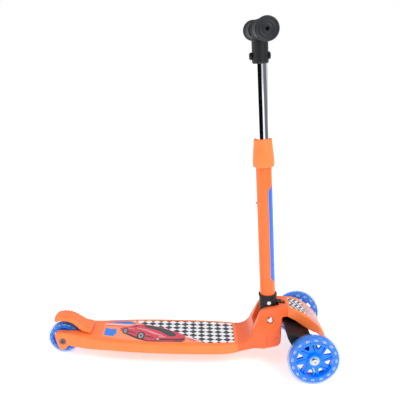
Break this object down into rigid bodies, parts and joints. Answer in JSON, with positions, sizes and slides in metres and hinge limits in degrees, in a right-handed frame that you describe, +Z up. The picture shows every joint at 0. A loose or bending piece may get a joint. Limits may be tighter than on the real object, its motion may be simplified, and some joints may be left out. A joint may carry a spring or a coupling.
{
  "type": "kick scooter",
  "caption": "Child's kick scooter with two front wheels on a tilting truck, one rear wheel under a foot brake, folding stem and height-adjustable T-bar.",
  "frame": {"origin": "on the floor under the middle of the scooter's length and width", "axes": "+X forward towards the front wheels, +Y to the rider's left, +Z up"},
  "size_m": [0.68, 0.269, 0.7902],
  "materials": {
    "orange_plastic": "satin moulded polypropylene",
    "black_nylon": "matte moulded nylon",
    "blue_nylon": "glossy moulded nylon",
    "clear_tyre": "clear polyurethane, glossy",
    "orange_paint": "satin powder coat on tube",
    "chrome_tube": "bright chrome plating",
    "zinc_steel": "bright zinc plating",
    "bearing_steel": "ground steel",
    "deck_film": null,
    "hood_film": "printed film, black and white checks",
    "blue_film": "printed blue film",
    "grip_rubber": "matte textured rubber",
    "pad_rubber": "matte rubber",
    "bush_rubber": "matte polyurethane",
    "light_housing": "clear light capsules",
    "spring_steel": "spring wire"
  },
  "bodies": {
    "deck": {"deck_board": "orange_plastic", "deck_print": "deck_film", "nose_yoke": "orange_plastic", "lock_bar": "zinc_steel", "fold_pin": "zinc_steel", "fold_pin_cap": "zinc_steel", "nose_bolts": "zinc_steel", "front_hood": "orange_plastic", "hood_print": "hood_film", "brake_pin": "zinc_steel", "rear_axle_bolt": "zinc_steel", "rear_axle_nut": "zinc_steel", "rear_inner_rings": "bearing_steel", "rear_axle_spacers": "zinc_steel", "kingpin_bolt": "zinc_steel", "kingpin_nut": "zinc_steel", "kingpin_washer": "zinc_steel", "lower_bushing": "bush_rubber", "upper_bushing": "bush_rubber"},
    "brake": {"brake_fender": "orange_plastic", "brake_pad": "pad_rubber"},
    "rear_wheel": {"rear_tyre": "clear_tyre", "rear_core": "blue_nylon", "rear_outer_rings": "bearing_steel", "rear_lights": "light_housing"},
    "truck": {"truck_beam": "black_nylon", "right_axle_bolt": "zinc_steel", "left_axle_bolt": "zinc_steel", "front_axle_nuts": "zinc_steel", "front_inner_rings": "bearing_steel", "front_spacers": "zinc_steel", "truck_bush": "zinc_steel"},
    "right_wheel": {"right_tyre": "clear_tyre", "right_core": "blue_nylon", "right_outer_rings": "bearing_steel", "right_lights": "light_housing"},
    "left_wheel": {"left_tyre": "clear_tyre", "left_core": "blue_nylon", "left_outer_rings": "bearing_steel", "left_lights": "light_housing"},
    "stem": {"socket": "black_nylon", "outer_tube": "orange_paint", "tube_stripe": "blue_film", "socket_bolt": "zinc_steel", "socket_nut": "zinc_steel", "collar": "orange_plastic", "collar_screws": "zinc_steel", "tube_bushing": "black_nylon", "release_spring": "spring_steel"},
    "release_button": {"release_button": "black_nylon"},
    "height_pin": {"height_pin": "zinc_steel"},
    "handlebar": {"inner_tube": "chrome_tube", "tube_plug": "black_nylon", "t_head": "black_nylon", "neck_bolt": "zinc_steel", "neck_nut": "zinc_steel", "right_grip": "grip_rubber", "left_grip": "grip_rubber"}
  },
  "joints": [
    {"name": "rear_wheel_spin", "type": "hinge", "parent": "deck", "child": "rear_wheel", "pos_m": [-0.3, 0, 0.04], "axis": [0, 1, 0], "continuous": true},
    {"name": "brake_press", "type": "hinge", "parent": "deck", "child": "brake", "pos_m": [-0.244, 0, 0.054], "axis": [0, -1, 0], "range_deg": [0, 5], "stiffness_Nm_per_rad": 1.5},
    {"name": "lean_steer", "type": "hinge", "parent": "deck", "child": "truck", "pos_m": [0.241, 0, 0.108], "axis": [0.866, 0, 0.5], "range_deg": [-10, 10], "stiffness_Nm_per_rad": 60},
    {"name": "right_wheel_spin", "type": "hinge", "parent": "truck", "child": "right_wheel", "pos_m": [0.28, -0.117, 0.06], "axis": [0, 1, 0], "continuous": true},
    {"name": "left_wheel_spin", "type": "hinge", "parent": "truck", "child": "left_wheel", "pos_m": [0.28, 0.117, 0.06], "axis": [0, 1, 0], "continuous": true},
    {"name": "stem_fold", "type": "hinge", "parent": "deck", "child": "stem", "pos_m": [0.189, 0, 0.112], "axis": [0, -1, 0], "range_deg": [0, 80]},
    {"name": "release_press", "type": "slide", "parent": "stem", "child": "release_button", "axis": [-0.9959, 0, -0.0906], "range_m": [0, 0.003], "stiffness_N_per_m": 1500, "deforming": ["release_spring"]},
    {"name": "bar_height", "type": "slide", "parent": "stem", "child": "handlebar", "axis": [-0.0906, 0, 0.9959], "range_m": [-0.13, 0]},
    {"name": "height_pin_pull", "type": "slide", "parent": "stem", "child": "height_pin", "axis": [-0.9959, 0, -0.0906], "range_m": [0, 0.003], "stiffness_N_per_m": 1000}
  ]
}
